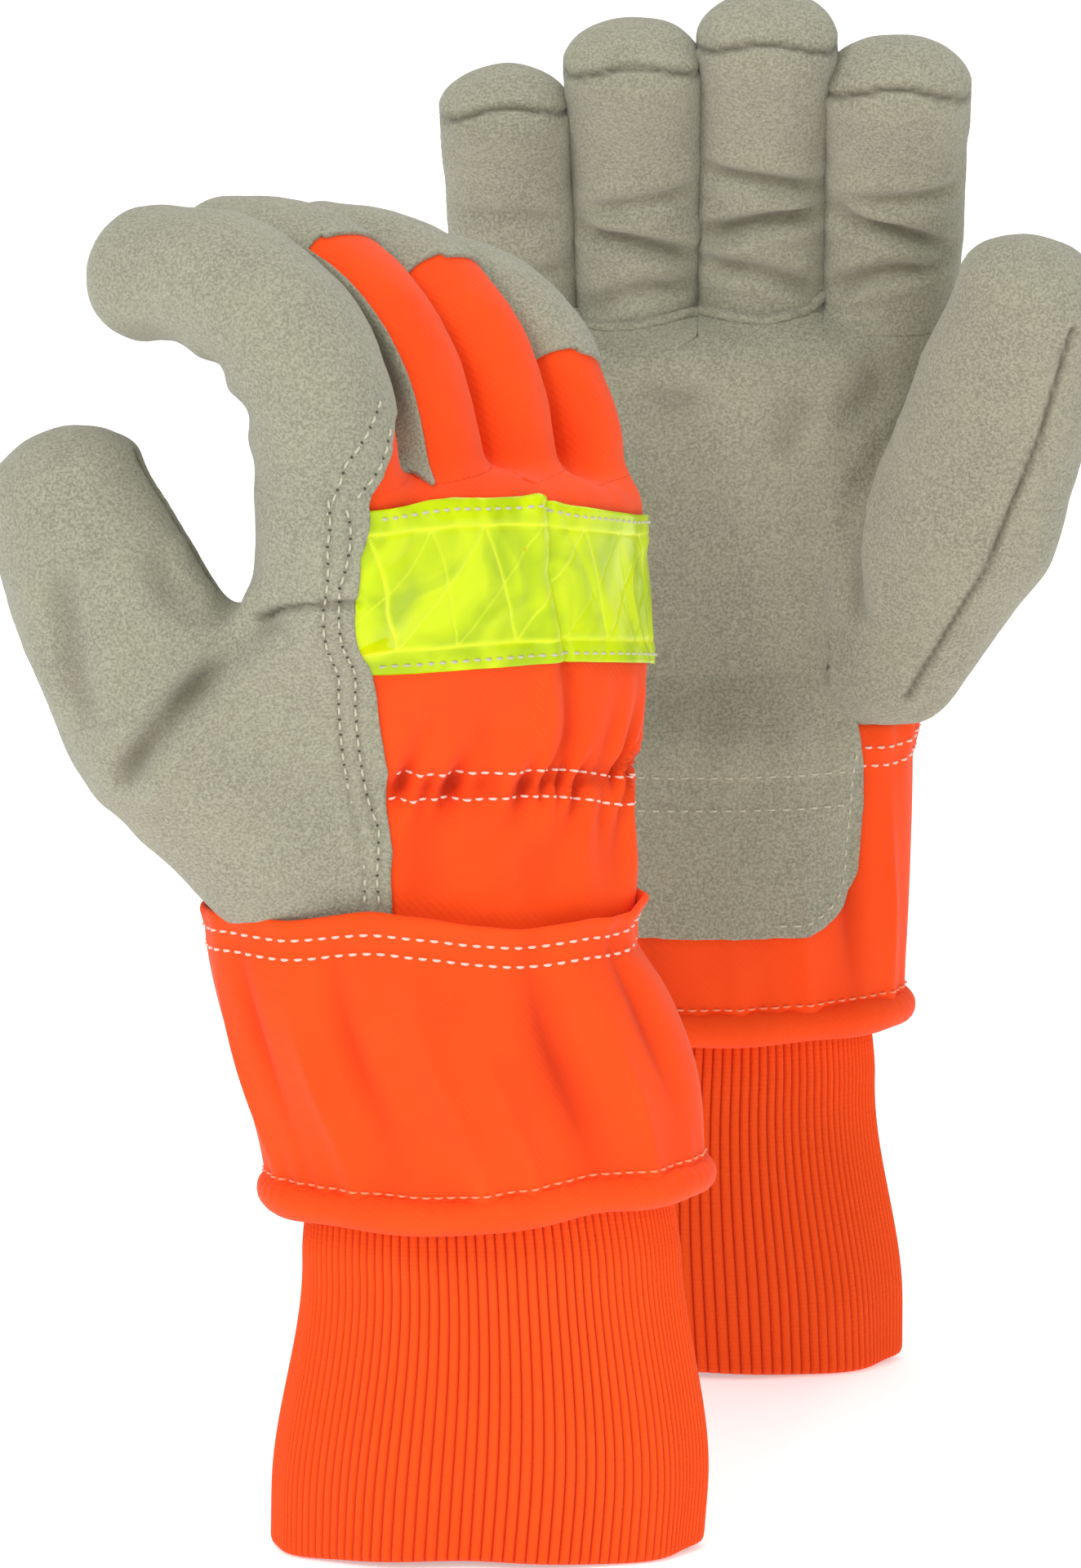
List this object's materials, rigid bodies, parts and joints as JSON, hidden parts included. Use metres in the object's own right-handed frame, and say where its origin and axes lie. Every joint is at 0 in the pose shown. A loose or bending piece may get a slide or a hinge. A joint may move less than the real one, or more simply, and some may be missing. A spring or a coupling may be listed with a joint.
{
  "type": "work gloves",
  "caption": "Pair of lined work gloves with split-leather palms, orange fabric backs, reflective knuckle tape, band cuffs and ribbed knit wrists.",
  "frame": {"origin": "on the surface the gloves stand on, under the middle of the pair", "axes": "+Z from the knit wrists to the fingertips, -Y towards the side that shows the near glove's back"},
  "size_m": [0.264, 0.2406, 0.3385],
  "materials": {
    "split_leather": "matt suede split cowhide",
    "orange_fabric": "fine ribbed fluorescent knit, matt",
    "orange_knit": "ribbed wool-like knit, matt",
    "reflective_tape": "glossy embossed vinyl",
    "white_textile": "sewing thread and woven elastic"
  },
  "bodies": {
    "near_cuff": {"near_knit_wrist": "orange_knit", "near_cuff_fabric": "orange_fabric", "near_cuff_hem_roll": "orange_fabric", "near_pulse_patch": "split_leather"},
    "near_hand": {"near_palm_leather": "split_leather", "near_back_fabric": "orange_fabric", "near_thumb_saddle": "split_leather", "near_index_saddle": "split_leather", "near_reflective_tape": "reflective_tape", "near_wrist_elastic": "white_textile", "near_finger_welt": "split_leather"},
    "near_index": {"near_index_front": "split_leather", "near_index_back": "split_leather"},
    "near_middle": {"near_middle_front": "split_leather", "near_middle_back": "orange_fabric", "near_middle_tip": "split_leather"},
    "near_ring": {"near_ring_front": "split_leather", "near_ring_back": "orange_fabric", "near_ring_tip": "split_leather"},
    "near_little": {"near_little_front": "split_leather", "near_little_back": "orange_fabric", "near_little_tip": "split_leather"},
    "near_thumb": {"near_thumb_front": "split_leather", "near_thumb_back": "split_leather"},
    "far_cuff": {"far_knit_wrist": "orange_knit", "far_cuff_fabric": "orange_fabric", "far_cuff_hem_roll": "orange_fabric", "far_pulse_patch": "split_leather"},
    "far_hand": {"far_palm_leather": "split_leather", "far_back_fabric": "orange_fabric", "far_thumb_saddle": "split_leather", "far_index_saddle": "split_leather", "far_reflective_tape": "reflective_tape", "far_wrist_elastic": "white_textile", "far_finger_welt": "split_leather"},
    "far_index": {"far_index_front": "split_leather", "far_index_back": "split_leather"},
    "far_middle": {"far_middle_front": "split_leather", "far_middle_back": "orange_fabric", "far_middle_tip": "split_leather"},
    "far_ring": {"far_ring_front": "split_leather", "far_ring_back": "orange_fabric", "far_ring_tip": "split_leather"},
    "far_little": {"far_little_front": "split_leather", "far_little_back": "orange_fabric", "far_little_tip": "split_leather"},
    "far_thumb": {"far_thumb_front": "split_leather", "far_thumb_back": "split_leather"}
  },
  "joints": [
    {"name": "near_wrist_bend", "type": "hinge", "parent": "near_cuff", "child": "near_hand", "pos_m": [-0.02761, -0.0751, 0.157], "axis": [1, 0, 0], "range_deg": [-18, 18]},
    {"name": "near_index_knuckle", "type": "hinge", "parent": "near_hand", "child": "near_index", "pos_m": [-0.04785, -0.10604, 0.25318], "axis": [-0.6148, -0.7869, -0.0523], "range_deg": [-30, 18]},
    {"name": "near_middle_knuckle", "type": "hinge", "parent": "near_hand", "child": "near_middle", "pos_m": [-0.02925, -0.08224, 0.25016], "axis": [-0.6156, -0.7879, -0.0174], "range_deg": [-30, 18]},
    {"name": "near_ring_knuckle", "type": "hinge", "parent": "near_hand", "child": "near_ring", "pos_m": [-0.01158, -0.05963, 0.24518], "axis": [-0.6156, -0.7879, 0.0174], "range_deg": [-30, 18]},
    {"name": "near_little_knuckle", "type": "hinge", "parent": "near_hand", "child": "near_little", "pos_m": [0.00516, -0.0382, 0.23911], "axis": [-0.6148, -0.7869, 0.0523], "range_deg": [-30, 18]},
    {"name": "near_thumb_root", "type": "hinge", "parent": "near_hand", "child": "near_thumb", "pos_m": [-0.08607, -0.09032, 0.19788], "axis": [0.1772, 0.9824, 0.0594], "range_deg": [-14, 10]},
    {"name": "far_wrist_bend", "type": "hinge", "parent": "far_cuff", "child": "far_hand", "pos_m": [0.03489, 0.0949, 0.157], "axis": [1, 0, 0], "range_deg": [-18, 18]},
    {"name": "far_index_knuckle", "type": "hinge", "parent": "far_hand", "child": "far_index", "pos_m": [0.07969, 0.0949, 0.249], "axis": [0.9994, 0, -0.0349], "range_deg": [-10, 40]},
    {"name": "far_middle_knuckle", "type": "hinge", "parent": "far_hand", "child": "far_middle", "pos_m": [0.04949, 0.0949, 0.249], "axis": [0.9998, 0, -0.0174], "range_deg": [-10, 40]},
    {"name": "far_ring_knuckle", "type": "hinge", "parent": "far_hand", "child": "far_ring", "pos_m": [0.02079, 0.0949, 0.24689], "axis": [0.9998, 0, 0.0174], "range_deg": [-10, 40]},
    {"name": "far_little_knuckle", "type": "hinge", "parent": "far_hand", "child": "far_little", "pos_m": [-0.00641, 0.0949, 0.24354], "axis": [0.9976, 0, 0.0698], "range_deg": [-10, 40]},
    {"name": "far_thumb_root", "type": "hinge", "parent": "far_hand", "child": "far_thumb", "pos_m": [0.09806, 0.06257, 0.214], "axis": [-0.251, -0.9672, -0.038], "range_deg": [-18, 3]},
    {"name": "far_glove_slide", "type": "slide", "parent": "near_cuff", "child": "far_cuff", "axis": [0, 1, 0], "range_m": [0, 0.05]}
  ]
}
